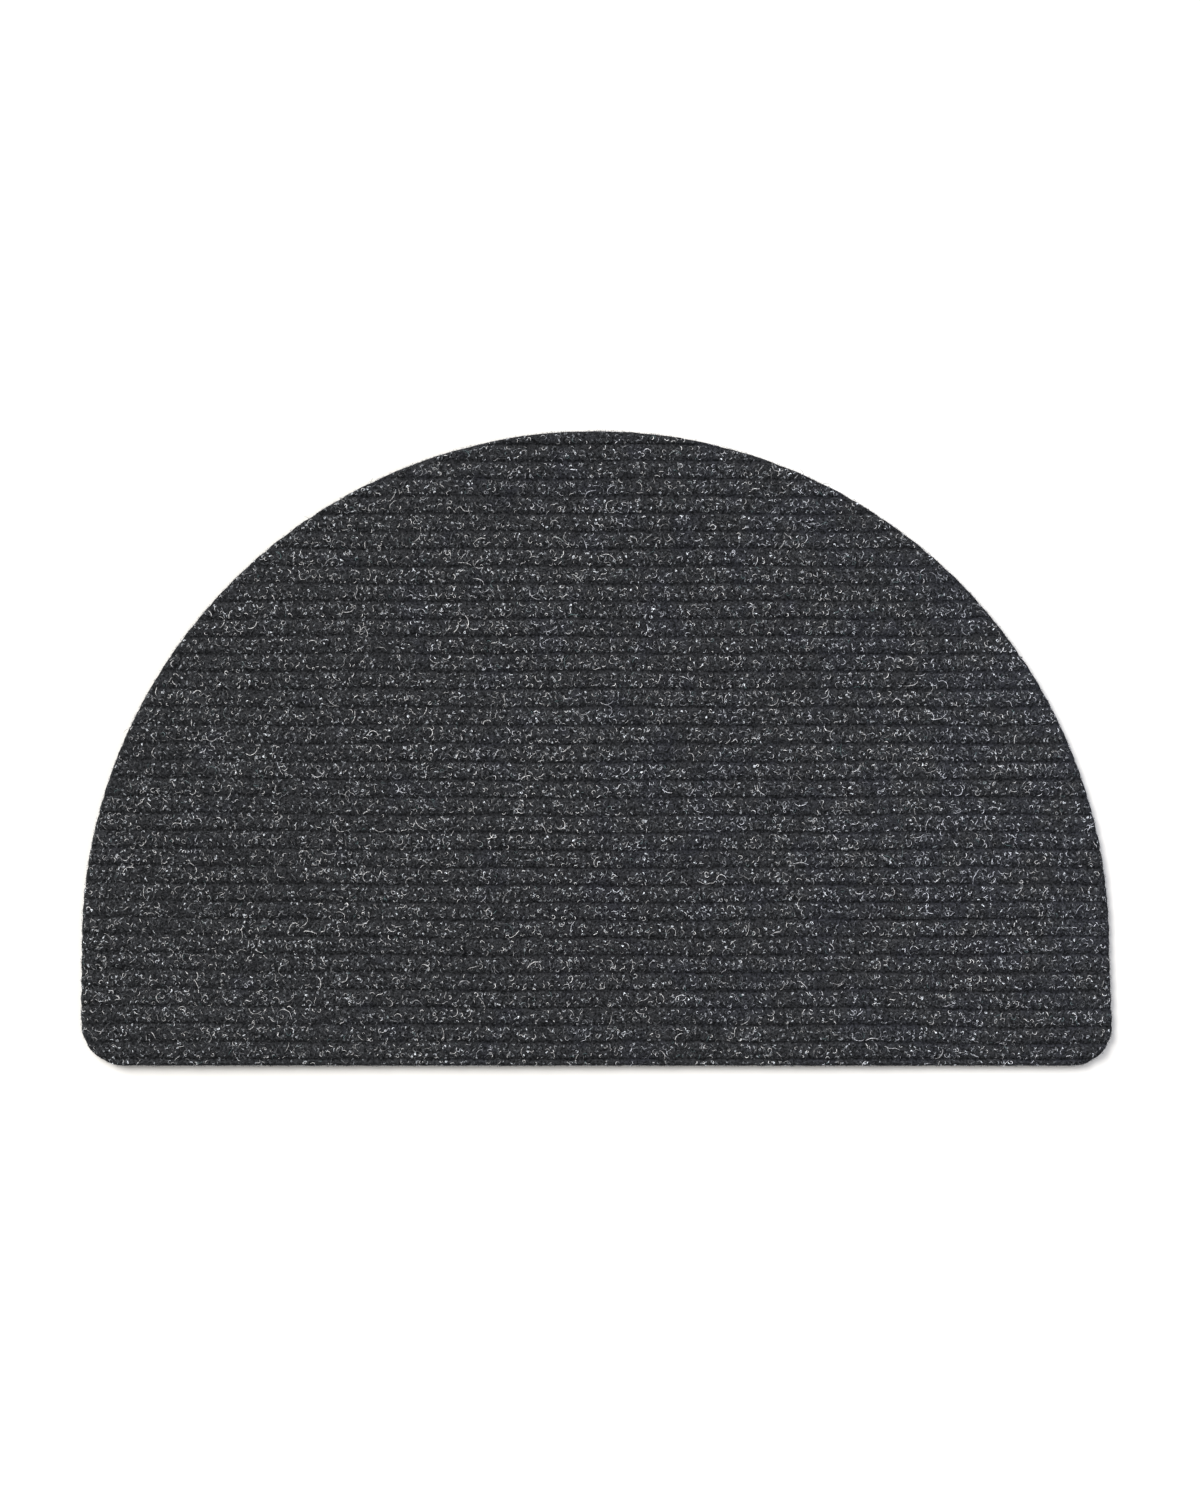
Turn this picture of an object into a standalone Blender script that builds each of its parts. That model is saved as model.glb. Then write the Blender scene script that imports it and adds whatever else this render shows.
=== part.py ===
"""Half-round ribbed doormat: one sheet of needle-punched felt, cut to shape and lying flat.

The straight edge is the front, at -Y, where the mat meets a door sill. The ribs run along X.
The origin is on the floor, under the middle of the mat's outline. Units are metres, +Z up.
"""

import math

import bmesh
import bpy

# The outline, as it is cut
MAT_WIDTH = 0.650
MAT_DEPTH = 0.400
ARC_RADIUS = 0.324
ARC_CENTRE_X = -0.0007
LEFT_CORNER_RADIUS = 0.027
RIGHT_CORNER_RADIUS = 0.0245

# The felt, measured from the floor
CROWN_HEIGHT = 0.0070
GROOVE_HEIGHT = 0.0050

# The ribs, counted from the front edge
RIB_PITCH = 0.01104
FRONT_EDGE_TO_GROOVE = 0.0035

# One rib from groove to groove: (share of the pitch, share of the rib's height)
RIB_PROFILE = (
    (0.00, 0.00),
    (0.10, 0.44),
    (0.25, 0.91),
    (0.50, 1.00),
    (0.75, 0.91),
    (0.90, 0.44),
)

# Where the ribs have shifted along Y. Each is (how far, middle X, reach in X, where it starts and ends
# from the front edge, length of the ramp at both)
RIB_SHIFTS = (
    (0.0019, 0.0, 0.90, 0.175, 0.500, 0.075),
    (-0.0009, 0.0, 0.17, 0.0, 0.175, 0.050),
    (0.0013, -0.32, 0.11, 0.010, 0.175, 0.050),
    (-0.0022, 0.29, 0.09, -0.020, 0.030, 0.050),
)
SHIFT_FADE = 0.012
UNMOVED_EDGE = 0.001

# How unevenly the felt lies: the ribs wander along Y, and their crowns rise and dip
WANDER_DEPTH = 0.0004
WANDER_LENGTH = 0.145
WANDER_TURNS = 2.3
CROWN_DIP = 0.0004
DIP_LENGTH = 0.190
DIP_TURNS = 3.1

# How finely the outline and the ribs are divided
COLUMNS = 14
ARC_STEP = math.radians(1.5)
ARC_TOP_STEPS = 4
CORNER_STEP = math.radians(10.0)
CORNER_FRONT_STEPS = 2
CLOSEST_ROWS = 0.00025
CLOSEST_TO_EDGE = 0.00008
SHARP_ANGLE = math.radians(50)

FELT_COLOUR = (0.042, 0.044, 0.050, 1.0)
FELT_ROUGHNESS = 0.95

FRONT_Y = -MAT_DEPTH / 2
BACK_Y = MAT_DEPTH / 2
ARC_CENTRE_Y = BACK_Y - ARC_RADIUS


def clear_scene():
    for obj in list(bpy.data.objects):
        bpy.data.objects.remove(obj)


def smooth(share):
    """Eases from 0 to 1 as share goes from 0 to 1."""
    share = min(1.0, max(0.0, share))
    return share * share * (3 - 2 * share)


def side_x(y, side):
    """The X of the left (-1) or right (+1) edge at y, where the arc's end runs out straight to the corner."""
    arc_end = ARC_CENTRE_X + side * ARC_RADIUS
    if y >= ARC_CENTRE_Y:
        return ARC_CENTRE_X + side * math.sqrt(max(0.0, ARC_RADIUS**2 - (y - ARC_CENTRE_Y) ** 2))
    corner = LEFT_CORNER_RADIUS if side < 0 else RIGHT_CORNER_RADIUS
    flare = (ARC_CENTRE_Y - y) / (ARC_CENTRE_Y - (FRONT_Y + corner))
    return arc_end + min(1.0, flare) * (side * MAT_WIDTH / 2 - arc_end)


def edge_x(y, side):
    """The X of the left (-1) or right (+1) edge of the mat at y, with its rounded front corner."""
    corner = LEFT_CORNER_RADIUS if side < 0 else RIGHT_CORNER_RADIUS
    below = FRONT_Y + corner - y
    if below <= 0:
        return side_x(y, side)
    return side_x(y, side) - side * (corner - math.sqrt(max(0.0, corner**2 - below**2)))


def row_levels():
    """Every Y where a row of points crosses the mat: each rib's points, and more where the outline turns."""
    levels = [FRONT_Y, BACK_Y]
    groove = FRONT_Y + FRONT_EDGE_TO_GROOVE - RIB_PITCH
    while groove < BACK_Y:
        levels += [groove + share * RIB_PITCH for share, _ in RIB_PROFILE]
        groove += RIB_PITCH
    turns = [BACK_Y - ARC_RADIUS * (1 - math.cos(step * ARC_STEP)) for step in range(1, ARC_TOP_STEPS + 1)]
    turns += [
        FRONT_Y + RIGHT_CORNER_RADIUS * (1 - math.cos(step * CORNER_STEP))
        for step in range(1, CORNER_FRONT_STEPS + 1)
    ]
    for turn in turns:
        if all(abs(turn - level) > CLOSEST_ROWS for level in levels if level not in (FRONT_Y, BACK_Y)):
            levels.append(turn)
    inside = sorted(y for y in levels if FRONT_Y + CLOSEST_TO_EDGE < y < BACK_Y - CLOSEST_TO_EDGE)
    return [FRONT_Y, *inside, BACK_Y]


def rib_height(y):
    """The felt's thickness on an even rib at y."""
    place = (y - FRONT_Y - FRONT_EDGE_TO_GROOVE) / RIB_PITCH % 1.0
    points = [*RIB_PROFILE, (1.0, RIB_PROFILE[0][1])]
    for (start, low), (end, high) in zip(points, points[1:]):
        if place <= end:
            share = low + (high - low) * (place - start) / (end - start)
            return GROOVE_HEIGHT + share * (CROWN_HEIGHT - CROWN_DIP - GROOVE_HEIGHT)
    return GROOVE_HEIGHT


def rib_shift(x, y):
    """How far along Y the ribs lie from even ones; nothing moves at the front edge or the top of the arc."""
    from_front = y - FRONT_Y
    shift = WANDER_DEPTH * math.sin(2 * math.pi * (x / WANDER_LENGTH + WANDER_TURNS * y / MAT_DEPTH))
    for how_far, middle, reach, first, last, ramp in RIB_SHIFTS:
        along = smooth((from_front - first) / ramp) * (1 - smooth((from_front - last) / ramp))
        shift += how_far * math.exp(-(((x - middle) / reach) ** 2)) * along
    to_ends = min(from_front, BACK_Y - y) - UNMOVED_EDGE
    return shift * smooth(to_ends / SHIFT_FADE)


def across(share, y):
    """The X that far along a row, from the left edge at 0 to the right edge at 1."""
    left, right = edge_x(y, -1), edge_x(y, 1)
    return left + (right - left) * share


def felt_point(share, even_y):
    """A point of the ribbed face: its row shifts with the ribs, and its ends stay on the outline."""
    y = even_y + rib_shift(across(share, even_y), even_y)
    x = across(share, y)
    dip = 0.5 + 0.5 * math.sin(2 * math.pi * (x / DIP_LENGTH + DIP_TURNS * y / MAT_DEPTH))
    rise = (rib_height(even_y) - GROOVE_HEIGHT) / (CROWN_HEIGHT - GROOVE_HEIGHT)
    return x, y, rib_height(even_y) + CROWN_DIP * dip * rise


def felt_mesh():
    """The whole sheet as one closed body: ribbed face, flat underside and the cut edge between them."""
    mesh = bmesh.new()
    levels = row_levels()
    top_rows = []
    for y in levels[:-1]:
        top_rows.append([mesh.verts.new(felt_point(column / COLUMNS, y)) for column in range(COLUMNS + 1)])
    for near, far in zip(top_rows, top_rows[1:]):
        for column in range(COLUMNS):
            mesh.faces.new((near[column], near[column + 1], far[column + 1], far[column]))

    floor_rows = [
        (mesh.verts.new((row[0].co.x, row[0].co.y, 0.0)), mesh.verts.new((row[-1].co.x, row[-1].co.y, 0.0)))
        for row in top_rows
    ]
    for (left, right), (far_left, far_right) in zip(floor_rows, floor_rows[1:]):
        mesh.faces.new((left, far_left, far_right, right))
    for rows in zip(top_rows, top_rows[1:], floor_rows, floor_rows[1:]):
        near, far, (left, right), (far_left, far_right) = rows
        mesh.faces.new((left, near[0], far[0], far_left))
        mesh.faces.new((right, far_right, far[-1], near[-1]))
    mesh.faces.new((floor_rows[0][0], floor_rows[0][1], *reversed(top_rows[0])))

    tip = mesh.verts.new(felt_point(0.5, BACK_Y))
    tip_floor = mesh.verts.new((ARC_CENTRE_X, BACK_Y, 0.0))
    last, (left, right) = top_rows[-1], floor_rows[-1]
    for column in range(COLUMNS):
        mesh.faces.new((last[column], last[column + 1], tip))
    mesh.faces.new((left, tip_floor, right))
    mesh.faces.new((left, last[0], tip, tip_floor))
    mesh.faces.new((right, tip_floor, tip, last[-1]))
    bmesh.ops.recalc_face_normals(mesh, faces=mesh.faces)
    return mesh


def felt_material():
    material = bpy.data.materials.new("charcoal_felt")
    material.use_nodes = True
    shader = material.node_tree.nodes["Principled BSDF"]
    shader.inputs["Base Color"].default_value = FELT_COLOUR
    shader.inputs["Roughness"].default_value = FELT_ROUGHNESS
    shader.inputs["Metallic"].default_value = 0.0
    return material


def add_ribbed_felt():
    shape = felt_mesh()
    data = bpy.data.meshes.new("ribbed_felt")
    shape.to_mesh(data)
    shape.free()
    data.materials.append(felt_material())
    data.shade_smooth()
    data.set_sharp_from_angle(angle=SHARP_ANGLE)
    felt = bpy.data.objects.new("ribbed_felt", data)
    bpy.context.scene.collection.objects.link(felt)
    return felt


clear_scene()
add_ribbed_felt()
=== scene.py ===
"""Dresses the half-round ribbed doormat: its felt face and cut edge, and the curled fibres on them.

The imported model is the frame, and the felt replaces its plain solid. Units are metres, +Z up, with the
mat's straight edge in front, at -Y, and its ribs along X.
"""

import math
from collections import namedtuple

import bmesh
import bpy
import numpy as np
from bpy.props import FloatProperty, FloatVectorProperty, IntProperty, PointerProperty
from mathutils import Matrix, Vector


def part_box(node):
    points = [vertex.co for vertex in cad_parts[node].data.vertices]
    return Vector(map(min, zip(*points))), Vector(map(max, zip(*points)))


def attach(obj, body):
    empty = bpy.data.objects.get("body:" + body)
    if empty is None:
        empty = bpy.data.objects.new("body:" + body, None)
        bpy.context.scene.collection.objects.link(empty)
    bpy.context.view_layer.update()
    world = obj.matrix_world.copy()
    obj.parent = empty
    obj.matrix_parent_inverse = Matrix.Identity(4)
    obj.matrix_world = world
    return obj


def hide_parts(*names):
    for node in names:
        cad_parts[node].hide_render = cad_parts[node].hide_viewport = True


bl_info = {
    "name": "Ribbed Felt Doormat",
    "version": (1, 0, 0),
    "blender": (4, 5, 0),
    "location": "View3D > Sidebar > Doormat",
    "description": "A half-round doormat of ribbed needle felt, with its curled fibres and cut edge",
    "category": "Object",
}

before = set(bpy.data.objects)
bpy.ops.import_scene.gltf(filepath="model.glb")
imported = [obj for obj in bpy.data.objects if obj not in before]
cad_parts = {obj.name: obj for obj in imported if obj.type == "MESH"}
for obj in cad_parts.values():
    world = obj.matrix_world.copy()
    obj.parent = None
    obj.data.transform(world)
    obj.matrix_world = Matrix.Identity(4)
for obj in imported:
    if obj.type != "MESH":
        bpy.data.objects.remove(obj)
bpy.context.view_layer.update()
FELT_NODE = "ribbed_felt"
BODY = "root"
MAT_LOW, MAT_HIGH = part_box(FELT_NODE)
MM = 0.001

# How the felt's grid of points is divided: places of the rows across a rib, and of the columns in
# from the sides and the rows in from the front
ROWS_IN_RIB = (0.0, 0.055, 0.15, 0.28, 0.42, 0.58, 0.72, 0.85, 0.945)
COLUMNS_IN_FROM_SIDE = (0.0, 0.4 * MM, 0.9 * MM, 1.6 * MM, 2.6 * MM)
ROWS_IN_FROM_FRONT = (0.0, 0.15 * MM, 0.4 * MM, 0.9 * MM, 1.6 * MM, 2.5 * MM)
EVEN_COLUMNS = 190
CORNER_STEP = math.radians(6.0)
CORNER_ROWS = range(4, 15)
ARC_STEP = math.radians(1.0)
ARC_ROWS = range(4, 16)
TOP_CAP_DEPTH = 0.9 * MM
TOP_CAP_ROWS = (0.4, 0.75, 1.0)
CLOSEST_ROWS = 0.12 * MM
NARROW_ROW = 40 * MM
SHARP_ANGLE = math.radians(70)

# Where the ribs have shifted along Y: (how far, middle X, reach in X, where it starts and ends from the
# front edge, length of the ramp at both)
RIB_SHIFTS = (
    (1.9 * MM, 0.0, 900 * MM, 175 * MM, 500 * MM, 75 * MM),
    (-0.9 * MM, 0.0, 170 * MM, 0.0, 175 * MM, 50 * MM),
    (1.3 * MM, -320 * MM, 110 * MM, 10 * MM, 175 * MM, 50 * MM),
    (-2.2 * MM, 290 * MM, 90 * MM, -20 * MM, 30 * MM, 50 * MM),
)

# Unevenness of the felt, in layers of noise: (share, size of its hills, seed)
GROOVE_WOBBLE = ((0.6, 11 * MM, 11), (0.4, 5 * MM, 12))
TUFTS = ((0.65, 4.2 * MM, 21), (0.35, 2.3 * MM, 22))
CUT_WOBBLE = ((0.6, 3.1 * MM, 31), (0.4, 1.4 * MM, 32))
NOISE_GRID = 256

# The cut edge from the rim to the floor: (share of the height, how far it bulges out)
WALL_RINGS = ((0.72, 0.22 * MM), (0.40, 0.30 * MM), (0.12, 0.12 * MM), (0.0, 0.0))
WALL_RAGGEDNESS = 0.8
WALL_HILLS = 2.1 * MM

# Kinds of strand: each is a share of them all, with its lengths, how many degrees it turns, how many points
# lie along it, and whether its far half turns back
StrandKind = namedtuple("StrandKind", "name share shortest longest least_turn most_turn points turns_back")
STRAND_KINDS = (
    StrandKind("hook", 0.45, 2.8 * MM, 5.6 * MM, 130, 290, 8, False),
    StrandKind("loop", 0.13, 4.2 * MM, 7.4 * MM, 290, 390, 10, False),
    StrandKind("snake", 0.17, 3.0 * MM, 6.4 * MM, 80, 170, 7, True),
    StrandKind("stroke", 0.19, 1.0 * MM, 2.6 * MM, 10, 90, 4, False),
    StrandKind("stray", 0.06, 7.0 * MM, 13.5 * MM, 60, 240, 10, False),
)

# Strands differ in thickness and taper to their ends, and a few of them are greenish
THINNEST_STRAND = 0.75
THICKEST_STRAND = 1.2
STRAND_TAPER = 0.45
TEAL_SHARE = 0.03

# Strands dive into the felt near a groove, but for a share of them that bridge it. How near they are
# buried, and over what width they come up again, is in pitches.
BRIDGING_SHARE = 0.12
MORE_BRIDGING_ON_LEFT = 0.3
BURIED_WITHIN = 0.045
RISING_OVER = 0.055

# Clumps of strands: (share, how much flatter they are along Y, size, seed). Patches with more strands or
# fewer: (middle X, middle Y, reach in X, reach in Y, how much more)
CLUMPS = ((0.42, 1.6, 14 * MM, 51), (0.50, 1.3, 4.5 * MM, 52), (0.32, 1.0, 62 * MM, 54))
RICH_PATCHES = (
    (-34 * MM, 50 * MM, 36 * MM, 100 * MM, 0.80),
    (170 * MM, 5 * MM, 120 * MM, 110 * MM, 0.42),
    (-165 * MM, 50 * MM, 75 * MM, 65 * MM, -0.30),
)
CLUMPS_FROM = 0.32
CLUMPS_OVER = 0.95

# Strands keep off the rim and mostly out of the grooves, whose widths are in pitches. There are so many
# times more places than strands, to choose from.
BARE_RIM = 0.8 * MM
GROOVE_HALF_WIDTH = 0.07
GROOVE_RAGGEDNESS = ((0.03, 4 * MM, 53),)
SPOTS_TO_CHOOSE_FROM = 1.6

# Left of the middle more fibre lies in the grooves, and the felt's grooves there are also painted lighter,
# partly as painted light: from how far out, over what width, and how much
FULLER_PAST = 30 * MM
FULLER_OVER = 200 * MM
MORE_IN_GROOVES_ON_LEFT = 0.3

# The loose ends out of the cut edge: points round the arc and each corner to place them by, points along
# each end, how deep in the felt it starts, and its radius as a share of a strand's thickness
OUTLINE_POINTS = 700
CORNER_POINTS = 24
EDGE_POINTS = 5
EDGE_ROOT = 0.5 * MM
EDGE_FINENESS = 0.36

# Layers of curls drawn in the felt: (curls to a metre, width of a line, share of the cells that have a
# curl, darkest and palest shade)
FELT_CURLS = (
    (880.0, 0.20, 1.00, 0.002, 0.042),
    (640.0, 0.16, 0.80, 0.002, 0.052),
    (600.0, 0.11, 0.45, 0.015, 0.150),
    (420.0, 0.070, 0.38, 0.080, 1.000),
)

# What the blue-grey patches, with the painted cool light towards the right, do to a strand's colour
BLUE_CAST = (0.86, 0.92, 1.12, 1.0)

# The studio's floor, and the cool light from the right
FLOOR_HALF_SIZE = 40.0
WINDOW_PLACE = (0.75, 0.10, 0.45)
WINDOW_LEAN = math.radians(50)
WINDOW_COLOUR = (0.74, 0.81, 1.0)


def length_property(name, description, default):
    return FloatProperty(
        name=name, description=description, default=default, unit="LENGTH", subtype="DISTANCE"
    )


def angle_property(name, description, degrees):
    return FloatProperty(name=name, description=description, default=math.radians(degrees), subtype="ANGLE")


def colour_property(name, description, default):
    return FloatVectorProperty(
        name=name, description=description, default=default, subtype="COLOR", size=3, min=0.0, max=1.0
    )


class DoormatShape(bpy.types.PropertyGroup):
    """Sizes of the felt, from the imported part."""

    width: length_property("Width", "The mat from side to side", MAT_HIGH[0] - MAT_LOW[0])
    depth: length_property(
        "Depth", "The mat from its straight edge to the top of the arc", MAT_HIGH[1] - MAT_LOW[1]
    )
    arc_radius: length_property("Arc Radius", "Radius of the round edge", 324 * MM)
    arc_centre_x: length_property("Arc Centre", "The X of the arc's centre", -0.7 * MM)
    left_corner: length_property("Left Corner", "Radius of the left front corner", 27 * MM)
    right_corner: length_property("Right Corner", "Radius of the right front corner", 24.5 * MM)
    crown_height: length_property("Crown Height", "Felt's thickness at the top of a rib", MAT_HIGH[2])
    groove_height: length_property("Groove Height", "Felt's thickness in a groove", 5.0 * MM)
    rib_pitch: length_property("Rib Pitch", "From one groove to the next", 11.04 * MM)
    first_groove: length_property("First Groove", "From the straight edge to the first groove", 3.5 * MM)
    roundness: FloatProperty(
        name="Rib Roundness", description="Higher is flatter on top and steeper in the groove", default=4.0
    )
    crown_dip: length_property("Crown Dip", "How far the ribs' tops sink and rise along the mat", 0.4 * MM)
    wander: length_property("Wander", "How far the ribs stray to either side", 0.4 * MM)
    groove_wobble: length_property("Groove Wobble", "How unevenly the needles drew the grooves", 0.35 * MM)
    lumps: length_property("Lumps", "How far tufts of fibre raise or sink the face", 0.30 * MM)
    cut_wobble: length_property("Cut Wobble", "How unevenly the edge is cut", 0.25 * MM)


class DoormatFibres(bpy.types.PropertyGroup):
    """Number and size of the curled fibres."""

    pale_count: IntProperty(name="Pale Fibres", description="How many of pale, and of ash", default=4500)
    grey_count: IntProperty(name="Grey Fibres", description="How many of grey, and of slate", default=5600)
    edge_count: IntProperty(name="Edge Fibres", description="How many stick out of the cut", default=2400)
    thickness: length_property("Thickness", "Diameter of one strand", 0.28 * MM)
    kink: angle_property("Kink", "How unevenly a strand bends", 8)
    lift: length_property("Lift", "How high the middle of a strand stands over the felt", 0.55 * MM)
    bury: length_property("Bury", "How deep the ends of a strand go into the felt", 0.35 * MM)
    edge_reach: length_property("Edge Reach", "How far loose ends stick out of the cut edge", 1.1 * MM)


class DoormatColours(bpy.types.PropertyGroup):
    """Colours of the felt, its fibres and the floor, in linear light."""

    felt_deep: colour_property("Felt, Deep", "Fibres low in the felt", (0.0034, 0.0037, 0.0040))
    felt_light: colour_property("Felt, Light", "Fibres at the face of the felt", (0.0264, 0.0267, 0.0287))
    felt_blue: colour_property("Felt, Blue", "The blue-grey fibres mixed in", (0.0254, 0.0261, 0.0312))
    strand_slate: colour_property("Strand, Slate", "The darkest of the loose strands", (0.020, 0.022, 0.028))
    strand_grey: colour_property("Strand, Grey", "The middling grey strands", (0.0748, 0.0755, 0.0792))
    strand_pale: colour_property("Strand, Pale", "The palest of the loose strands", (0.875, 0.862, 0.85))
    strand_teal: colour_property("Strand, Teal", "The few greenish strands", (0.10, 0.17, 0.17))
    floor: colour_property("Floor", "The pale floor under the mat", (0.684, 0.666, 0.634))


class DoormatStage(bpy.types.PropertyGroup):
    """The studio: its camera and lights."""

    frame_height: length_property(
        "Frame Height", "What the camera sees on the mat, from bottom to top", 945.7 * MM
    )
    aim_x: length_property("Aim X", "The camera stands over this X of the mat", 2.2 * MM)
    aim_y: length_property("Aim Y", "The camera stands over this Y of the mat", -1.1 * MM)
    lens: FloatProperty(name="Lens", description="Focal length in millimetres", default=85.0)
    sun_strength: FloatProperty(name="Sun Strength", description="Irradiance of the main light", default=5.2)
    sun_spread: angle_property("Sun Spread", "How wide and soft the main light is", 44)
    sun_tilt: angle_property("Sun Tilt", "How far the main light leans from straight above", 52)
    sun_turn: angle_property("Sun Turn", "Where the main light comes from, turned left from the back", 48)
    sky_strength: FloatProperty(name="Sky Strength", description="Light from all round", default=0.70)
    window_power: FloatProperty(
        name="Window Power", description="Cool light from the right, in watts", default=2.6
    )
    window_size: length_property("Window Size", "Side of the cool light", 0.6)


def ease(share):
    """Eases from 0 to 1 as share goes from 0 to 1."""
    share = np.clip(share, 0.0, 1.0)
    return share * share * (3 - 2 * share)


def hills(x, y, size, seed):
    """Soft noise from -1 to 1 over the plane, with its hills about size apart, the same on each run."""
    table = np.random.default_rng(seed).uniform(-1, 1, (NOISE_GRID, NOISE_GRID))
    across, along = np.asarray(x) / size, np.asarray(y) / size
    column, row = np.floor(across).astype(int), np.floor(along).astype(int)
    u, v = ease(across - column), ease(along - row)

    def corner(right, up):
        return table[(row + up) % NOISE_GRID, (column + right) % NOISE_GRID]

    near = corner(0, 0) * (1 - u) + corner(1, 0) * u
    far = corner(0, 1) * (1 - u) + corner(1, 1) * u
    return near * (1 - v) + far * v


def uneven(x, y, layers):
    """Layers of noise added up, each with its share, the size of its hills and its seed."""
    return sum(share * hills(x, y, size, seed) for share, size, seed in layers)


class FeltSurface:
    """Where the felt's edge and its ribbed face are, for any arrays of places."""

    shift_fade = 12 * MM
    unmoved_edge = 1 * MM
    wobble_fade = 3 * MM
    wander_length = 145 * MM
    wander_turns = 2.3
    dip_length = 190 * MM
    dip_turns = 3.1
    rim_width = 1.6 * MM
    rim_drop = 0.20
    cut_fade = 2.0 * MM
    rib_end_bulge = 0.28 * MM
    flush_rise = 0.6
    groove_rounding = 0.05
    tufts_in_groove = 0.35

    def __init__(self, shape):
        self.shape = shape
        self.front, self.back = MAT_LOW[1], MAT_HIGH[1]
        self.middle_x = shape.arc_centre_x
        self.middle_y = self.back - shape.arc_radius

    def corner(self, side):
        return np.where(side < 0, self.shape.left_corner, self.shape.right_corner)

    def edge_x(self, y, side):
        """The X of the left (-1) or right (+1) edge at y: the arc, its run-out and the front corner."""
        shape, corner = self.shape, self.corner(side)
        arc_end = self.middle_x + side * shape.arc_radius
        above = np.clip(y - self.middle_y, 0, shape.arc_radius)
        arc = self.middle_x + side * np.sqrt(shape.arc_radius**2 - above**2)
        flare = np.clip((self.middle_y - y) / (self.middle_y - self.front - corner), 0, 1)
        run_out = arc_end + flare * (side * shape.width / 2 - arc_end)
        below = np.clip(self.front + corner - y, 0, corner)
        rounding = corner - np.sqrt(corner**2 - below**2)
        return np.where(y >= self.middle_y, arc, run_out - side * rounding)

    def inset(self, x, y):
        """How far each point lies in from the nearest edge; outside the mat it is negative."""
        side = np.where(x < self.middle_x, -1, 1)
        corner = self.corner(side)
        corner_x, corner_y = side * (self.shape.width / 2 - corner), self.front + corner
        in_corner = (side * (x - corner_x) > 0) & (y < corner_y)
        to_corner = corner - np.hypot(x - corner_x, y - corner_y)
        to_side = side * (self.edge_x(y, side) - x)
        to_arc = self.shape.arc_radius - np.hypot(x - self.middle_x, y - self.middle_y)
        to_edge = np.minimum(np.where(y > self.middle_y, to_arc, to_side), y - self.front)
        return np.where(in_corner, to_corner, to_edge)

    def outward(self, x, y):
        """The direction, in the plane, that leaves the mat by the shortest way."""
        step = 0.05 * MM
        along_x = self.inset(x - step, y) - self.inset(x + step, y)
        along_y = self.inset(x, y - step) - self.inset(x, y + step)
        length = np.maximum(np.hypot(along_x, along_y), 1e-12)
        return along_x / length, along_y / length

    def shift(self, x, even_y):
        """How far along Y the ribs lie from even ones; the front edge and the arc's top don't move."""
        shape = self.shape
        from_front = even_y - self.front
        turns = x / self.wander_length + self.wander_turns * (even_y / shape.depth)
        moved = shape.wander * np.sin(2 * math.pi * turns)
        for how_far, middle, reach, first, last, ramp in RIB_SHIFTS:
            along = ease((from_front - first) / ramp) * (1 - ease((from_front - last) / ramp))
            moved = moved + how_far * np.exp(-(((x - middle) / reach) ** 2)) * along
        to_ends = np.minimum(from_front, self.back - even_y) - self.unmoved_edge
        return moved * ease(to_ends / self.shift_fade)

    def wobble(self, x, y):
        """How unevenly the needles drew the grooves, which fades out at the cut edge."""
        drawn = uneven(x, y, GROOVE_WOBBLE)
        return self.shape.groove_wobble * drawn * ease(self.inset(x, y) / self.wobble_fade)

    def across(self, share, y):
        """The X that far along a row, from the left edge at 0 to the right edge at 1."""
        left, right = self.edge_x(y, -1), self.edge_x(y, 1)
        return left + (right - left) * share

    def from_groove(self, even_y):
        """How far a place on even ribs is from the nearest groove, in pitches: 0.5 is the middle of a rib."""
        place = (even_y - self.front - self.shape.first_groove) / self.shape.rib_pitch % 1.0
        return np.minimum(place, 1 - place)

    def rise(self, from_groove):
        """How high on its rib a place is, from 0 in the groove to 1 on the crown."""
        rounded = np.hypot(from_groove, self.groove_rounding) - self.groove_rounding
        share = rounded / (np.hypot(0.5, self.groove_rounding) - self.groove_rounding)
        return 1 - (1 - share) ** self.shape.roundness

    def height(self, x, y, rise):
        """The face's height over the floor, where it has risen that far on its rib."""
        shape = self.shape
        turns = x / self.dip_length + self.dip_turns * y / shape.depth
        dip = shape.crown_dip * (0.5 - 0.5 * np.sin(2 * math.pi * turns))
        tufts = uneven(x, y, TUFTS)
        full = shape.groove_height + rise * (shape.crown_height - dip - shape.groove_height)
        full = full + shape.lumps * tufts * (self.tufts_in_groove + (1 - self.tufts_in_groove) * rise)
        rim = 1 - self.rim_drop * (1 - ease(self.inset(x, y) / self.rim_width))
        return full * rim

    def cut(self, x, y):
        """Moves points near the edge out and in, as unevenly as the felt is cut."""
        near = np.exp(-np.maximum(self.inset(x, y), 0) / self.cut_fade)
        wobble = self.shape.cut_wobble * uneven(x, y, CUT_WOBBLE)
        bulge = self.rib_end_bulge * (self.rise(self.from_groove(y)) - self.flush_rise)
        out_x, out_y = self.outward(x, y)
        return x + near * (wobble + bulge) * out_x, y + near * (wobble + bulge) * out_y

    def face(self, x, even_y):
        """Points of the face: a row shifts with the ribs, and its ends stay on the outline."""
        share = (x - self.edge_x(even_y, -1)) / (self.edge_x(even_y, 1) - self.edge_x(even_y, -1))
        shifted_y = even_y + self.shift(x, even_y)
        shifted_x = np.where(shifted_y == even_y, x, self.across(share, shifted_y))
        z = self.height(shifted_x, shifted_y, self.rise(self.from_groove(even_y)))
        moved_x, moved_y = self.cut(shifted_x, shifted_y + self.wobble(shifted_x, shifted_y))
        return moved_x, moved_y, z

    def over(self, x, y):
        """The face's height under any point, and how far that is from a groove, on the ribs as they lie."""
        shifted_y = y - self.wobble(x, y)
        even_y = shifted_y
        for _ in range(3):
            even_y = shifted_y - self.shift(x, even_y)
        from_groove = self.from_groove(even_y)
        return self.height(x, shifted_y, self.rise(from_groove)), from_groove


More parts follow.
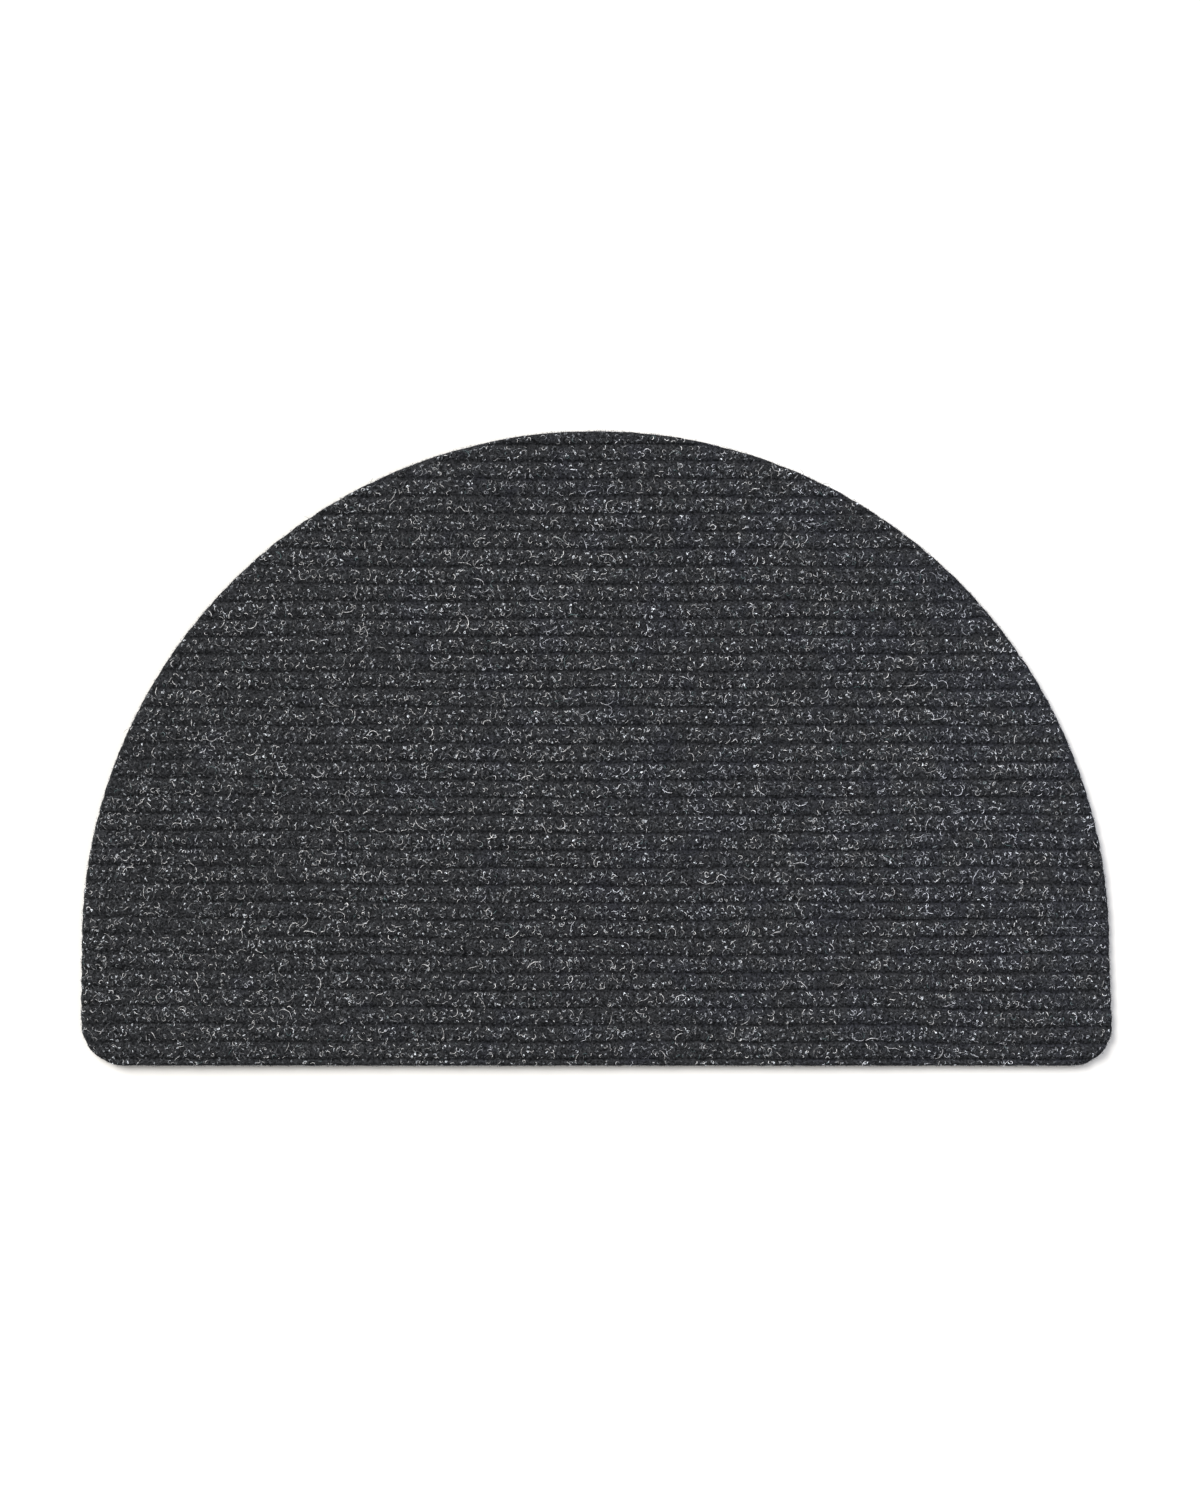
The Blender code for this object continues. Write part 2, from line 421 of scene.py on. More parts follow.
def sheet_area(shape):
    """The area inside the outline."""
    straight = shape.depth - shape.arc_radius
    corners = (1 - math.pi / 4) * (shape.left_corner**2 + shape.right_corner**2)
    return math.pi * shape.arc_radius**2 / 2 + straight * shape.width - corners


def row_levels(surface):
    """The Y of every row of points: each rib's, and closer ones where the outline turns."""
    shape = surface.shape
    levels = [surface.front + inset for inset in ROWS_IN_FROM_FRONT]
    corner = min(shape.left_corner, shape.right_corner)
    turns = [surface.front + corner * (1 - math.cos(step * CORNER_STEP)) for step in CORNER_ROWS]
    top = surface.back - TOP_CAP_DEPTH
    turns += [surface.back - shape.arc_radius * (1 - math.cos(step * ARC_STEP)) for step in ARC_ROWS]
    groove = surface.front + shape.first_groove - shape.rib_pitch
    while groove < top:
        levels += [groove + place * shape.rib_pitch for place in ROWS_IN_RIB]
        groove += shape.rib_pitch
    levels = sorted(level for level in [*levels, *turns, top] if surface.front <= level <= top)
    kept = [levels[0]]
    for level in levels[1:]:
        if level - kept[-1] > CLOSEST_ROWS:
            kept.append(level)
    kept[-1] = top
    return np.array(kept)


def row_of_x(surface, y):
    """The X of each point in the row at y: closer near both ends."""
    left, right = float(surface.edge_x(y, -1)), float(surface.edge_x(y, 1))
    squeeze = min(1.0, (right - left) / NARROW_ROW)
    ends = np.array(COLUMNS_IN_FROM_SIDE) * squeeze
    even = np.linspace(left + ends[-1], right - ends[-1], EVEN_COLUMNS)
    return np.concatenate([left + ends[:-1], even, (right - ends[:-1])[::-1]])


def felt_grid(surface):
    """Places of the face's points on even ribs, row by row, the last rows bending up to the arc itself."""
    levels = row_levels(surface)
    rows_x = [row_of_x(surface, y) for y in levels]
    rows_y = [np.full_like(row, y) for row, y in zip(rows_x, levels)]
    top_x, top_y = rows_x[-1], levels[-1]
    arc_y = surface.middle_y + np.sqrt(surface.shape.arc_radius**2 - (top_x - surface.middle_x) ** 2)
    for share in TOP_CAP_ROWS:
        rows_x.append(top_x)
        rows_y.append(top_y + share * (arc_y - top_y))
    return np.array(rows_x), np.array(rows_y)


def build_felt(surface):
    """The whole sheet as one closed body: ribbed face, cut edge and flat underside."""
    grid_x, grid_y = felt_grid(surface)
    face_x, face_y, face_z = surface.face(grid_x, grid_y)
    from_groove = surface.from_groove(grid_y)
    rows, columns = grid_x.shape
    cap = rows - len(TOP_CAP_ROWS)

    mesh = bmesh.new()
    middle = mesh.verts.layers.float.new("from_groove")
    points = []
    for row in range(rows):
        line = []
        for column in range(columns):
            if row >= cap and column in (0, columns - 1):
                line.append(points[cap - 1][column])
                continue
            vertex = mesh.verts.new((face_x[row, column], face_y[row, column], face_z[row, column]))
            vertex[middle] = from_groove[row, column]
            line.append(vertex)
        points.append(line)
    for near, far in zip(points, points[1:]):
        for column in range(columns - 1):
            around = (near[column], near[column + 1], far[column + 1], far[column])
            mesh.faces.new(tuple(dict.fromkeys(around)))

    rim = [*points[0], *(line[-1] for line in points[1:cap])]
    rim += [*reversed(points[-1][1:-1]), *(line[0] for line in reversed(points[1:cap]))]
    floor_edges = wall_down(mesh, surface, rim)
    bmesh.ops.triangle_fill(mesh, use_beauty=True, edges=floor_edges)
    bmesh.ops.recalc_face_normals(mesh, faces=mesh.faces)
    return mesh


def wall_down(mesh, surface, rim):
    """The cut edge, from the rim of the face down to the floor; returns the edges along the floor."""
    x, y, z = (np.array([vertex.co[axis] for vertex in rim]) for axis in range(3))
    out_x, out_y = surface.outward(x, y)
    upper = rim
    for share, bulge in WALL_RINGS:
        ragged = bulge * (1 + WALL_RAGGEDNESS * hills(x + y, share * y + x, WALL_HILLS, 41))
        spots = zip(x + ragged * out_x, y + ragged * out_y, z * share)
        lower = [mesh.verts.new(spot) for spot in spots]
        for start in range(len(rim)):
            end = (start + 1) % len(rim)
            mesh.faces.new((upper[start], lower[start], lower[end], upper[end]))
        upper = lower
    return [mesh.edges.get((upper[i], upper[(i + 1) % len(upper)])) for i in range(len(upper))]


def new_piece(name, data, material):
    piece = bpy.data.objects.new(name, data)
    data.materials.append(material)
    bpy.context.scene.collection.objects.link(piece)
    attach(piece, BODY)
    return piece


def strands_along(rng, count, kind, kink, points):
    """Flat curls about the origin, one for each strand: arrays of x and y, strands by points."""
    length = rng.uniform(kind.shortest, kind.longest, count)
    turn = np.radians(rng.uniform(kind.least_turn, kind.most_turn, count)) * rng.choice((-1, 1), count)
    heading = rng.uniform(0, 2 * math.pi, count)
    along = (np.arange(points - 1) + 0.5) / (points - 1)
    bend = np.sin(math.pi * along) if kind.turns_back else along
    angle = heading[:, None] + turn[:, None] * bend + rng.normal(0, kink, (count, points - 1))
    step = (length / (points - 1))[:, None] * rng.uniform(0.85, 1.15, (count, points - 1))
    x = np.cumsum(np.pad(step * np.cos(angle), ((0, 0), (1, 0))), axis=1)
    y = np.cumsum(np.pad(step * np.sin(angle), ((0, 0), (1, 0))), axis=1)
    return x - x.mean(axis=1, keepdims=True), y - y.mean(axis=1, keepdims=True)


def fuller(x):
    """From 0 to 1 towards the left, where more fibre lies in the grooves."""
    return ease((-x - FULLER_PAST) / FULLER_OVER)


def fibre_clumps(x, y):
    """How much more fibre lies at each place, in clumps and in the larger patches."""
    clumps = sum(share * hills(x, flatter * y, size, seed) for share, flatter, size, seed in CLUMPS)
    for middle_x, middle_y, reach_x, reach_y, more in RICH_PATCHES:
        clumps += more * np.exp(-(((x - middle_x) / reach_x) ** 2) - ((y - middle_y) / reach_y) ** 2)
    return clumps


def felt_spots(surface, rng, count, groove_share, clumping):
    """Evenly spaced places on the felt for strands: few in the grooves, and fewer between the clumps."""
    half = surface.shape.width / 2
    apart = math.sqrt(sheet_area(surface.shape) / (count * SPOTS_TO_CHOOSE_FROM))
    x, y = np.meshgrid(np.arange(-half, half, apart), np.arange(surface.front, surface.back, apart))
    x = x.ravel() + rng.uniform(0, apart, x.size)
    y = y.ravel() + rng.uniform(0, apart, y.size)
    inside = surface.inset(x, y) > BARE_RIM
    x, y = x[inside], y[inside]
    if x.size < count:
        raise ValueError(f"only {x.size} of {count} strands found a place")
    from_groove = surface.over(x, y)[1] + uneven(x, y, GROOVE_RAGGEDNESS)
    in_groove = groove_share + MORE_IN_GROOVES_ON_LEFT * fuller(x)
    crown = in_groove + (1 - in_groove) * ease((from_groove - GROOVE_HALF_WIDTH) / GROOVE_HALF_WIDTH)
    clump = 1 - clumping + clumping * ease((fibre_clumps(x, y) + CLUMPS_FROM) / CLUMPS_OVER)
    chosen = rng.permutation(np.argsort(rng.uniform(0, 1, x.size) / (crown * clump))[:count])
    return np.stack([x[chosen], y[chosen]], axis=1)


def tube_rings(points, radii):
    """The three corners at each point of the tubes, from arrays of strands by points."""
    along = np.gradient(points, axis=1)
    along /= np.maximum(np.linalg.norm(along, axis=2, keepdims=True), 1e-12)
    side = np.cross(along[:, 0], (0.0, 0.0, 1.0)) + 1e-9
    corners = []
    for ring in range(points.shape[1]):
        ahead = along[:, ring]
        side = side - (side * ahead).sum(axis=1, keepdims=True) * ahead
        side /= np.linalg.norm(side, axis=1, keepdims=True)
        over = np.cross(ahead, side)
        for turn in np.radians((90, 210, 330)):
            offset = math.cos(turn) * side + math.sin(turn) * over
            corners.append(points[:, ring] + radii[:, ring, None] * offset)
    return np.stack(corners, axis=1).reshape(-1, 3)


def tube_faces(rings):
    """The faces of one closed three-sided tube: its sides, and then its two ends."""
    last = 3 * (rings - 1)
    sides = []
    for low in range(0, last, 3):
        for corner in range(3):
            beside = (corner + 1) % 3
            sides.append((low + corner, low + beside, low + 3 + beside, low + 3 + corner))
    return np.array(sides), np.array(((2, 1, 0), (last, last + 1, last + 2)))


def tube_mesh(name, runs, paleness, teal):
    """One mesh of closed three-sided tubes. runs is a list of (points, radii) arrays, strands by points."""
    points_of_all, faces_of_all, corners_each, start = [], [], [], 0
    for points, radii in runs:
        strands, rings, _ = points.shape
        points_of_all.append(tube_rings(points, radii))
        starts = start + 3 * rings * np.arange(strands)
        for faces in tube_faces(rings):
            faces_of_all += (starts[:, None, None] + faces).reshape(-1, faces.shape[1]).tolist()
        corners_each += [3 * rings] * strands
        start += 3 * rings * strands
    data = bpy.data.meshes.new(name)
    data.from_pydata(np.concatenate(points_of_all), [], faces_of_all)
    for label, values in (("paleness", paleness), ("teal", teal)):
        attribute = data.attributes.new(label, "FLOAT", "POINT")
        attribute.data.foreach_set("value", np.repeat(values, corners_each))
    data.shade_smooth()
    return data


def strand_mesh(surface, fibres, name, rng, spots, shades, fineness, coarser):
    """A mesh of loose strands on the felt, each lying over the ribs with both ends in the felt."""
    spot_x, spot_y = spots.T
    count, runs, first = len(spots), [], 0
    for kind in STRAND_KINDS:
        number = count - first if kind is STRAND_KINDS[-1] else round(kind.share * count)
        here = slice(first, first + number)
        x, y = strands_along(rng, number, kind, fibres.kink, kind.points - coarser)
        x += spot_x[here, None]
        y += spot_y[here, None]
        along = np.sin(np.linspace(0, math.pi, x.shape[1]))
        top = fineness * fibres.lift * rng.uniform(0.4, 1.3, number)
        face, from_groove = surface.over(x, y)
        bridging = BRIDGING_SHARE + MORE_BRIDGING_ON_LEFT * fuller(spot_x[here])
        bridges = rng.uniform(0, 1, number) < bridging
        free = along * np.where(bridges[:, None], 1.0, ease((from_groove - BURIED_WITHIN) / RISING_OVER))
        z = face + top[:, None] * free - fibres.bury * (1 - free)
        thickness = rng.uniform(THINNEST_STRAND, THICKEST_STRAND, number)[:, None]
        radii = fineness * fibres.thickness / 2 * thickness * (1 - STRAND_TAPER + STRAND_TAPER * along)
        runs.append((np.stack([x, y, z], axis=2), radii))
        first += number
    paleness = np.minimum(shades[0] + (shades[1] - shades[0]) * rng.uniform(0, 1, count) ** 2, 1.0)
    teal = np.where(rng.uniform(0, 1, count) < TEAL_SHARE, rng.uniform(0.4, 1.0, count), 0.0)
    return tube_mesh(name, runs, paleness, teal)


def outline(surface):
    """Points round the mat's edge, close together along the arc and round the front corners."""
    shape = surface.shape
    arc = np.linspace(0, math.pi, OUTLINE_POINTS)
    x = [surface.middle_x + shape.arc_radius * np.cos(arc)]
    y = [surface.middle_y + shape.arc_radius * np.sin(arc)]
    quarter = np.linspace(0, math.pi / 2, CORNER_POINTS)
    left_x, left_y = -shape.width / 2 + shape.left_corner, surface.front + shape.left_corner
    right_x, right_y = shape.width / 2 - shape.right_corner, surface.front + shape.right_corner
    x += [left_x - shape.left_corner * np.cos(quarter), right_x + shape.right_corner * np.sin(quarter)]
    y += [left_y - shape.left_corner * np.sin(quarter), right_y - shape.right_corner * np.cos(quarter)]
    x, y = np.concatenate([*x, x[0][:1]]), np.concatenate([*y, y[0][:1]])
    return x, y


def build_edge_fibres(surface, fibres):
    """Short loose ends that stick out of the cut all round the mat."""
    rng = np.random.default_rng(71)
    x, y = outline(surface)
    run = np.concatenate([[0], np.cumsum(np.hypot(np.diff(x), np.diff(y)))])
    count, points = fibres.edge_count, EDGE_POINTS
    place = rng.uniform(0, run[-1], count)
    root_x, root_y = np.interp(place, run, x), np.interp(place, run, y)
    out_x, out_y = surface.outward(root_x, root_y)
    root_z = surface.over(root_x - out_x * MM, root_y - out_y * MM)[0] * rng.uniform(0.1, 0.95, count)
    along = np.linspace(0, 1, points)
    reach = fibres.edge_reach * rng.uniform(0.3, 1.0, count)[:, None]
    sway = rng.uniform(-1.6, 1.6, count)[:, None] * MM
    curl = rng.uniform(-1.0, 1.0, count)[:, None] * MM
    turn_back = np.sin(along * rng.uniform(1.4, 2.6, count)[:, None])
    out = -EDGE_ROOT + (reach + EDGE_ROOT) * turn_back
    beside = sway * along + curl * np.sin(math.pi * along)
    across_x, across_y = -out_y[:, None], out_x[:, None]
    px = root_x[:, None] + out * out_x[:, None] + beside * across_x
    py = root_y[:, None] + out * out_y[:, None] + beside * across_y
    pz = root_z[:, None] + rng.uniform(-0.8, 1.0, count)[:, None] * MM * along**1.5
    pz = np.maximum(pz, fibres.thickness / 2)
    radii = np.full((count, points), fibres.thickness * EDGE_FINENESS) * np.linspace(1.0, 0.6, points)
    paleness = rng.uniform(0.0, 1.0, count) ** 3 * 0.8
    teal = np.zeros(count)
    runs = [(np.stack([px, py, pz], axis=2), radii)]
    return tube_mesh("edge_fibres", runs, paleness, teal)


def add_node(tree, kind, place, settings=None, **values):
    """A shader node with its own settings and the values of its unlinked inputs."""
    node = tree.nodes.new(kind)
    node.location = place
    for name, value in (settings or {}).items():
        setattr(node, name, value)
    for name, value in values.items():
        node.inputs[name.replace("_", " ")].default_value = value
    return node


def new_group(name, inputs, outputs):
    """An empty node group with its sockets: (name, kind, default) coming in, (name, kind) going out."""
    tree = bpy.data.node_groups.new(name, "ShaderNodeTree")
    for label, kind, default in inputs:
        socket = tree.interface.new_socket(label, in_out="INPUT", socket_type=kind)
        if default is not None:
            socket.default_value = default
    for label, kind in outputs:
        tree.interface.new_socket(label, in_out="OUTPUT", socket_type=kind)
    entry = add_node(tree, "NodeGroupInput", (-900, 0))
    leave = add_node(tree, "NodeGroupOutput", (900, 0))
    return tree, entry, leave


def feed(tree, socket, value):
    """Links an input to another node's output, or sets it to a plain value; None leaves it as it is."""
    if isinstance(value, bpy.types.NodeSocket):
        tree.links.new(value, socket)
    elif value is not None:
        socket.default_value = value


def math_node(tree, operation, place, first, second=None, third=None):
    """A maths node whose inputs are sockets or plain numbers."""
    node = add_node(tree, "ShaderNodeMath", place, {"operation": operation})
    for socket, value in zip(node.inputs, (first, second, third)):
        feed(tree, socket, value)
    return node.outputs[0]


def vector_node(tree, operation, place, first, second=None, scale=None):
    """A vector maths node whose inputs are sockets or plain values; its answer is a vector or a distance."""
    node = add_node(tree, "ShaderNodeVectorMath", place, {"operation": operation})
    for socket, value in ((node.inputs[0], first), (node.inputs[1], second), (node.inputs[3], scale)):
        feed(tree, socket, value)
    return node.outputs["Value" if operation == "DISTANCE" else "Vector"]


def range_node(tree, place, value, low, high, to_low=0.0, to_high=1.0):
    """Eases a value from one range to another, and stops at its ends."""
    node = add_node(tree, "ShaderNodeMapRange", place, {"interpolation_type": "SMOOTHSTEP"})
    for socket, number in zip(node.inputs, (value, low, high, to_low, to_high)):
        feed(tree, socket, number)
    return node.outputs[0]


def mix_node(tree, place, share, first, second, blend="MIX"):
    """Mixes two colours, each a socket or a plain colour."""
    node = add_node(tree, "ShaderNodeMix", place, {"data_type": "RGBA", "blend_type": blend})
    for label, value in (("Factor", share), ("A", first), ("B", second)):
        of_kind = "VALUE" if label == "Factor" else "RGBA"
        socket = next(s for s in node.inputs if s.name == label and s.type == of_kind)
        feed(tree, socket, value)
    return next(s for s in node.outputs if s.type == "RGBA")


def noise_node(tree, place, vector, scale, detail=2.0, roughness=0.5):
    """Noise of that many hills to a metre."""
    node = add_node(
        tree, "ShaderNodeTexNoise", place, Scale=1.0, Detail=detail, Roughness=roughness
    )
    tree.links.new(vector, node.inputs["Vector"])
    feed(tree, node.inputs["Scale"], scale)
    return node.outputs["Fac"]


def curl_group():
    """One curled fibre to each cell, as they lie in the face of the felt: bows, hooks and loops.

    Each is a piece of a circle through the middle of its cell. Its radius, heading, length and shade come
    from the cell's own random numbers.
    """
    tree, entry, leave = new_group(
        "Fibre Curls",
        [("Vector", "NodeSocketVector", None), ("Curls per Metre", "NodeSocketFloat", 300.0),
         ("Line Width", "NodeSocketFloat", 0.10), ("Share of Cells", "NodeSocketFloat", 0.8),
         ("Move", "NodeSocketVector", None)],
        [("Mask", "NodeSocketFloat"), ("Shade", "NodeSocketFloat")],
    )
    size = entry.outputs["Curls per Metre"]
    moved = vector_node(tree, "ADD", (-1500, 200), entry.outputs["Vector"], entry.outputs["Move"])
    in_cells = vector_node(tree, "SCALE", (-1300, 200), moved, scale=size)
    bends = add_node(
        tree, "ShaderNodeTexNoise", (-1300, -100), {"noise_dimensions": "2D"}, Scale=1.3, Detail=1.0
    )
    tree.links.new(in_cells, bends.inputs["Vector"])
    bending = vector_node(tree, "SUBTRACT", (-1100, -100), bends.outputs["Color"], (0.5, 0.5, 0.5))
    bent = vector_node(tree, "SCALE", (-1000, -250), bending, scale=0.9)
    bent_cells = vector_node(tree, "ADD", (-900, 100), in_cells, bent)
    cells = add_node(tree, "ShaderNodeTexVoronoi", (-700, 100), {"voronoi_dimensions": "2D"}, Scale=1.0)
    tree.links.new(bent_cells, cells.inputs["Vector"])
    flat = vector_node(tree, "MULTIPLY", (-500, 300), bent_cells, (1.0, 1.0, 0.0))
    from_middle = vector_node(tree, "SUBTRACT", (-300, 300), flat, cells.outputs["Position"])
    chance = add_node(tree, "ShaderNodeSeparateColor", (-500, -100))
    tree.links.new(cells.outputs["Color"], chance.inputs["Color"])

    radius = range_node(tree, (-300, 0), chance.outputs["Red"], 0.0, 1.0, 0.14, 0.62)
    heading = math_node(tree, "MULTIPLY", (-300, -150), chance.outputs["Green"], 2 * math.pi)
    centre = add_node(tree, "ShaderNodeCombineXYZ", (-100, -150))
    tree.links.new(math_node(tree, "COSINE", (-200, -200), heading), centre.inputs["X"])
    tree.links.new(math_node(tree, "SINE", (-200, -300), heading), centre.inputs["Y"])
    to_centre = vector_node(tree, "SCALE", (50, -150), centre.outputs["Vector"], scale=radius)
    away = vector_node(tree, "DISTANCE", (200, 200), from_middle, to_centre)
    past_line = math_node(tree, "SUBTRACT", (350, 200), away, radius)
    off_line = math_node(tree, "ABSOLUTE", (450, 200), past_line)
    inner = math_node(tree, "MULTIPLY", (300, 50), entry.outputs["Line Width"], 0.35)
    line = range_node(tree, (600, 200), off_line, inner, entry.outputs["Line Width"], 1.0, 0.0)
    length = math_node(tree, "MULTIPLY", (200, -350), chance.outputs["Blue"], 0.22)
    reach = math_node(tree, "ADD", (300, -200), length, 0.30)
    kept = math_node(tree, "LESS_THAN", (450, -100), cells.outputs["Distance"], reach)
    spread = math_node(tree, "MULTIPLY", (250, -450), chance.outputs["Blue"], 7.3)
    draw = math_node(tree, "FRACT", (350, -450), spread)
    there = math_node(tree, "LESS_THAN", (450, -300), draw, entry.outputs["Share of Cells"])
    kept_there = math_node(tree, "MULTIPLY", (600, -150), kept, there)
    whole = math_node(tree, "MULTIPLY", (750, 100), line, kept_there)
    spread_again = math_node(tree, "MULTIPLY", (500, -500), chance.outputs["Red"], 11.7)
    shade = math_node(tree, "FRACT", (600, -400), spread_again)
    leave.location = (1000, 0)
    tree.links.new(whole, leave.inputs["Mask"])
    tree.links.new(shade, leave.inputs["Shade"])
    return tree


def blend_group():
    """How the dyed fibres are blended: patches of blue-grey, whose share grows towards the right as a painted
    cool light, and fine dark and light flecks.
    """
    tree, entry, leave = new_group(
        "Fibre Blend",
        [("Vector", "NodeSocketVector", None), ("Patches per Metre", "NodeSocketFloat", 38.0),
         ("Flecks per Metre", "NodeSocketFloat", 680.0), ("Painted Cool Light to the Right", "NodeSocketFloat", 0.33)],
        [("Blue", "NodeSocketFloat"), ("Fleck", "NodeSocketFloat"), ("Cloud", "NodeSocketFloat")],
    )
    vector, per_metre = entry.outputs["Vector"], entry.outputs["Patches per Metre"]
    patches = noise_node(tree, (-500, 250), vector, per_metre, 3.0, 0.6)
    sideways = add_node(tree, "ShaderNodeSeparateXYZ", (-700, 450))
    tree.links.new(vector, sideways.inputs["Vector"])
    # The blue-grey share grows with X: painted cool light from the right, laid over the real blue-grey
    # patches
    painted_cool_light = entry.outputs["Painted Cool Light to the Right"]
    blue_share_with_painted_light = math_node(tree, "MULTIPLY_ADD", (-350, 400), sideways.outputs["X"], painted_cool_light, patches)
    blue = range_node(tree, (-200, 250), blue_share_with_painted_light, 0.48, 0.66)
    flecks = noise_node(tree, (-500, 0), vector, entry.outputs["Flecks per Metre"], 2.0, 0.65)
    fleck = range_node(tree, (-200, 0), flecks, 0.34, 0.66)
    cloud_scale = math_node(tree, "MULTIPLY", (-700, -250), per_metre, 2.3)
    clouds = noise_node(tree, (-500, -250), vector, cloud_scale, 2.0, 0.55)
    cloud = range_node(tree, (-200, -250), clouds, 0.30, 0.70)
    for label, value in (("Blue", blue), ("Fleck", fleck), ("Cloud", cloud)):
        tree.links.new(value, leave.inputs[label])
    return tree


def place_group(tree, group, place, vector, **values):
    node = add_node(tree, "ShaderNodeGroup", place, {"node_tree": group}, **values)
    tree.links.new(vector, node.inputs["Vector"])
    return node


def plain_material(name, roughness, gloss):
    """A material with its shader, its tree and the object's own coordinates."""
    material = bpy.data.materials.new(name)
    material.use_nodes = True
    tree = material.node_tree
    shader = tree.nodes["Principled BSDF"]
    shader.inputs["Roughness"].default_value = roughness
    shader.inputs["Metallic"].default_value = 0.0
    shader.inputs["Specular IOR Level"].default_value = gloss
    where = add_node(tree, "ShaderNodeTexCoord", (-1500, 0)).outputs["Object"]
    return material, tree, shader, where


def opaque(colour):
    return (*colour, 1.0)


def attribute_node(tree, place, name):
    """The values that the mesh carries under that name."""
    return add_node(tree, "ShaderNodeAttribute", place, {"attribute_name": name}).outputs["Fac"]


def felt_crowns_and_painted_light(tree, where):
    """From 1 on the ribs to little in the grooves, where towards the left more is kept: partly for the fuller
    fibre there, partly as painted light that softens the grooves' shade.
    """
    from_groove = attribute_node(tree, (-1500, -300), "from_groove")
    noise = noise_node(tree, (-1500, -600), where, 260.0)
    ragged = math_node(tree, "MULTIPLY_ADD", (-1350, -600), noise, 0.12, -0.06)
    near_crown = math_node(tree, "ADD", (-1250, -700), from_groove, ragged)
    place = add_node(tree, "ShaderNodeSeparateXYZ", (-1500, -900))
    tree.links.new(where, place.inputs["Vector"])
    # Towards the left the grooves keep more curls: partly more fibre lies there, partly painted light that
    # softens their shade
    far_left = -FULLER_PAST - FULLER_OVER
    in_groove = range_node(tree, (-1350, -900), place.outputs["X"], -FULLER_PAST, far_left, 0.12, 0.75)
    return range_node(tree, (-1200, -600), near_crown, 0.06, 0.13, in_groove, 1.0)


def felt_material(colours, curls, blend):
    """Charcoal felt, flecked, with patches of blue-grey, more of it to the right as painted cool light, and
    curls of dark, grey and pale fibre, more of them in the grooves on the left, partly as painted light.
    """
    material, tree, shader, where = plain_material("charcoal_felt", 0.95, 0.04)
    mixed = place_group(tree, blend, (-1200, 200), where)
    # The crowns' share of curls, with the grooves on the left painted lighter, partly as painted light
    on_crown = felt_crowns_and_painted_light(tree, where)
    light, blue = opaque(colours.felt_light), opaque(colours.felt_blue)
    # The blue-grey share here carries the painted cool light towards the right
    face = mix_node(tree, (-900, 300), mixed.outputs["Blue"], light, blue)
    coloured = mix_node(tree, (-650, 250), mixed.outputs["Fleck"], opaque(colours.felt_deep), face)
    clump = math_node(tree, "MULTIPLY_ADD", (-1000, -450), mixed.outputs["Cloud"], 0.45, 0.55)
    cover = math_node(tree, "MULTIPLY", (-850, -500), clump, on_crown)
    tall = math_node(tree, "MULTIPLY", (-700, -600), mixed.outputs["Fleck"], 0.5)
    for order, (per_metre, width, share, dark, pale) in enumerate(FELT_CURLS):
        down = -100 - 250 * order
        one = place_group(
            tree, curls, (-300, down), where, Curls_per_Metre=per_metre, Line_Width=width,
            Share_of_Cells=share, Move=(0.37 * order, 0.23 * order, 0.0),
        )
        shown = math_node(tree, "MULTIPLY", (-100, down), one.outputs["Mask"], cover)
        paler = math_node(tree, "POWER", (-100, down - 150), one.outputs["Shade"], 1.8)
        darkest = opaque((dark, 1.06 * dark, 1.13 * dark))
        palest = opaque((pale, 1.04 * pale, 1.09 * pale))
        shade = mix_node(tree, (50, down), paler, darkest, palest)
        coloured = mix_node(tree, (250, 250 - 100 * order), shown, coloured, shade)
        tall = math_node(tree, "MAXIMUM", (250, -600 - 50 * order), tall, shown)
    tree.links.new(coloured, shader.inputs["Base Color"])

    shader.location = (900, 300)
    tree.nodes["Material Output"].location = (1250, 300)
    bump = add_node(tree, "ShaderNodeBump", (600, -400), Strength=0.6, Distance=0.35 * MM)
    tree.links.new(tall, bump.inputs["Height"])
    tree.links.new(bump.outputs["Normal"], shader.inputs["Normal"])
    return material


def strand_material(name, dark, pale, teal, roughness, blend):
    """Loose strands: each its own shade, from the mesh, with blue-grey patches, more of them to the right as
    painted cool light, and dim stretches of painted shade along them.
    """
    material, tree, shader, where = plain_material(name, roughness, 0.25)
    paleness = attribute_node(tree, (-1200, 100), "paleness")
    greenish = attribute_node(tree, (-1200, -100), "teal")
    mixed = place_group(tree, blend, (-1200, 350), where, Flecks_per_Metre=900.0)
    shade = mix_node(tree, (-900, 200), paleness, opaque(dark), opaque(pale))
    # The blue-grey share carries the painted cool light towards the right into the strands too
    half_blue = math_node(tree, "MULTIPLY", (-900, 400), mixed.outputs["Blue"], 0.5)
    bluish = mix_node(tree, (-700, 200), half_blue, shade, BLUE_CAST, "MULTIPLY")
    green = mix_node(tree, (-500, 200), greenish, bluish, opaque(teal))
    # Painted shade along each strand: the flecks' noise dims stretches of it, as where it dips into the shade
    # of the felt
    painted_strand_shade = range_node(tree, (-700, -100), mixed.outputs["Fleck"], 0.0, 1.0, 0.35, 1.20)
    painted_shade_colour = add_node(tree, "ShaderNodeCombineColor", (-500, -100))
    for socket in painted_shade_colour.inputs:
        tree.links.new(painted_strand_shade, socket)
    final = mix_node(tree, (-250, 200), 1.0, green, painted_shade_colour.outputs["Color"], "MULTIPLY")
    tree.links.new(final, shader.inputs["Base Color"])
    return material


def group_once(name, make):
    """The node group of that name, built the first time it is asked for."""
    return bpy.data.node_groups.get(name) or make()


def settings(context):
    scene = context.scene
    return scene.doormat_shape, scene.doormat_fibres, scene.doormat_colours, scene.doormat_stage


